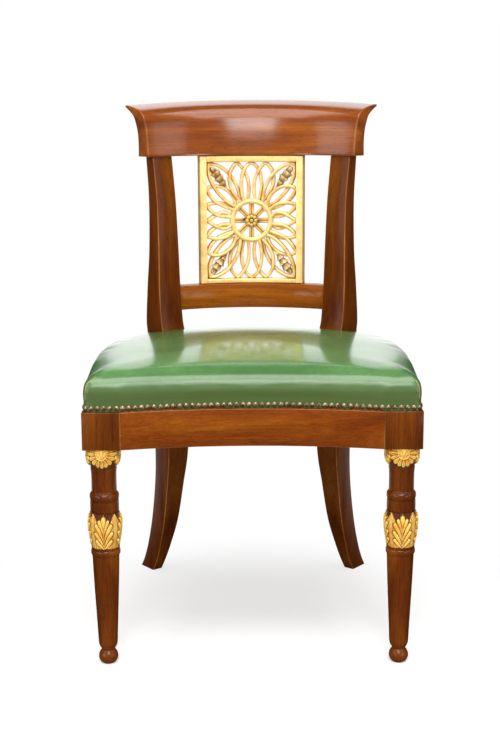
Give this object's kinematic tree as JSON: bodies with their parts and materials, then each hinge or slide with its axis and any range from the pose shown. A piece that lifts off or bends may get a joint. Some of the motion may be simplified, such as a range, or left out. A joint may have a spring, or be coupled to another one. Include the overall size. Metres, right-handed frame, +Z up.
{
  "type": "klismos side chair",
  "caption": "Klismos side chair with a rolled curved crest, pierced gilt sunburst splat, stuffed-over leather seat, turned parcel-gilt front legs and sabre rear legs.",
  "frame": {"origin": "middle of the chair's footprint on the floor: the bounding box's bottom centre", "axes": "+Z up; the sitter faces -Y, so the turned front legs are at -Y and the back is at +Y; +X is to the right seen from the front"},
  "size_m": [0.521, 0.5404, 0.8805],
  "materials": {
    "mahogany": "french polished mahogany",
    "giltwood": "water gilding over carved wood",
    "green_leather": "smooth semi-gloss hide",
    "beech": "planed, unfinished",
    "jute": "woven webbing",
    "hessian": "open plain weave",
    "horsehair": "curled hair under calico",
    "steel": "dull, slightly tarnished",
    "nail_bronze": "antique bronzed domes"
  },
  "bodies": {
    "root": {"front_leg_block_left": "mahogany", "front_leg_block_right": "mahogany", "front_leg_capital_left": "giltwood", "front_leg_capital_right": "giltwood", "front_leg_shaft_left": "mahogany", "front_leg_shaft_right": "mahogany", "front_leg_acanthus_left": "giltwood", "front_leg_acanthus_right": "giltwood", "front_leg_lower_left": "mahogany", "front_leg_lower_right": "mahogany", "rear_leg_left": "mahogany", "rear_leg_right": "mahogany", "side_seat_rail_left": "mahogany", "side_seat_rail_right": "mahogany", "front_corner_block_left": "beech", "front_corner_block_right": "beech", "rear_corner_block_left": "beech", "rear_corner_block_right": "beech", "front_block_screw_lower_left": "steel", "front_block_screw_lower_right": "steel", "front_block_screw_upper_left": "steel", "front_block_screw_upper_right": "steel", "rear_block_screw_lower_left": "steel", "rear_block_screw_lower_right": "steel", "rear_block_screw_upper_left": "steel", "rear_block_screw_upper_right": "steel", "splat_stile_left": "giltwood", "splat_stile_right": "giltwood", "front_seat_rail": "mahogany", "rear_seat_rail": "mahogany", "crest_rail": "mahogany", "lower_back_rail": "mahogany", "splat_top_bar": "giltwood", "splat_bottom_bar": "giltwood", "splat_fretwork": "giltwood", "splat_roundel": "giltwood", "webbing_lengthwise_1": "jute", "webbing_crosswise_1": "jute", "webbing_lengthwise_2": "jute", "webbing_crosswise_2": "jute", "webbing_lengthwise_3": "jute", "webbing_crosswise_3": "jute", "webbing_lengthwise_4": "jute", "webbing_crosswise_4": "jute", "base_cloth": "hessian", "seat_stuffing": "horsehair", "leather_cover": "green_leather"}
  },
  "joints": []
}
